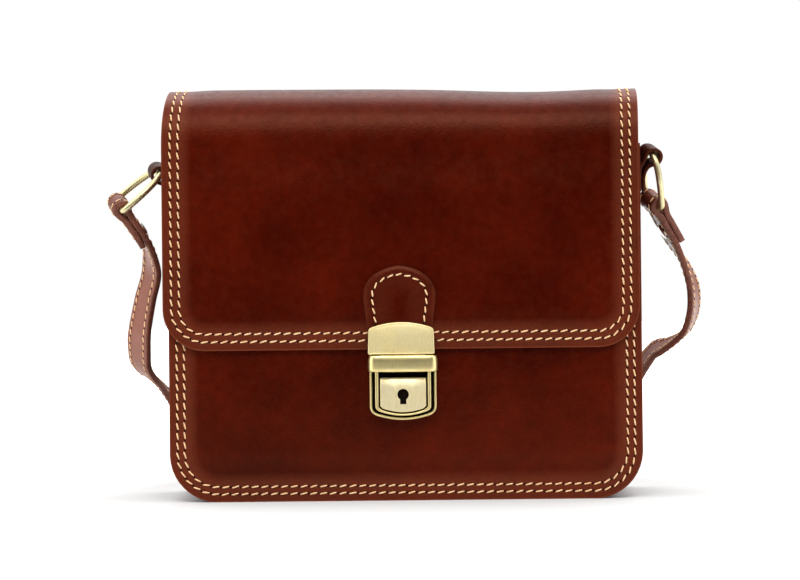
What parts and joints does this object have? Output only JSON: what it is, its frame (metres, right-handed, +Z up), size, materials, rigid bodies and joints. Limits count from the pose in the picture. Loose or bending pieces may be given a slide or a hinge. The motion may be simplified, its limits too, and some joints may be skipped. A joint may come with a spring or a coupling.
{
  "type": "flap bag",
  "caption": "Leather box-shaped flap bag with a shaped gusset, a press lock under the flap and a long shoulder strap on D-rings.",
  "frame": {"origin": "middle of the flat base, on the surface that the bag stands on", "axes": "+Z up; the front with the lock faces -Y; +X is to the right in a front view"},
  "size_m": [0.3291, 0.3295, 0.2251],
  "materials": {
    "body_leather": "worn glossy chestnut brown leather",
    "gusset_leather": "dark brown leather",
    "strap_leather": "glossy reddish brown leather with paler cut edges",
    "antique_brass": "satin antique brass with dark grooves",
    "rivet_steel": "pale polished"
  },
  "bodies": {
    "bag": {"front_panel": "body_leather", "gusset": "gusset_leather", "back_and_flap": "body_leather", "flap_tab": "body_leather", "hasp": "antique_brass", "lock_case": "antique_brass", "ring_left": "antique_brass", "ring_tab_left": "gusset_leather", "strap_rivet_left": "rivet_steel", "ring_right": "antique_brass", "ring_tab_right": "gusset_leather", "strap_rivet_right": "rivet_steel", "shoulder_strap": "strap_leather"},
    "button": {"lock_button": "antique_brass"}
  },
  "joints": [
    {"name": "lock_press", "type": "slide", "parent": "bag", "child": "button", "axis": [0, 1, 0], "range_m": [0, 0.0016], "stiffness_N_per_m": 300}
  ]
}
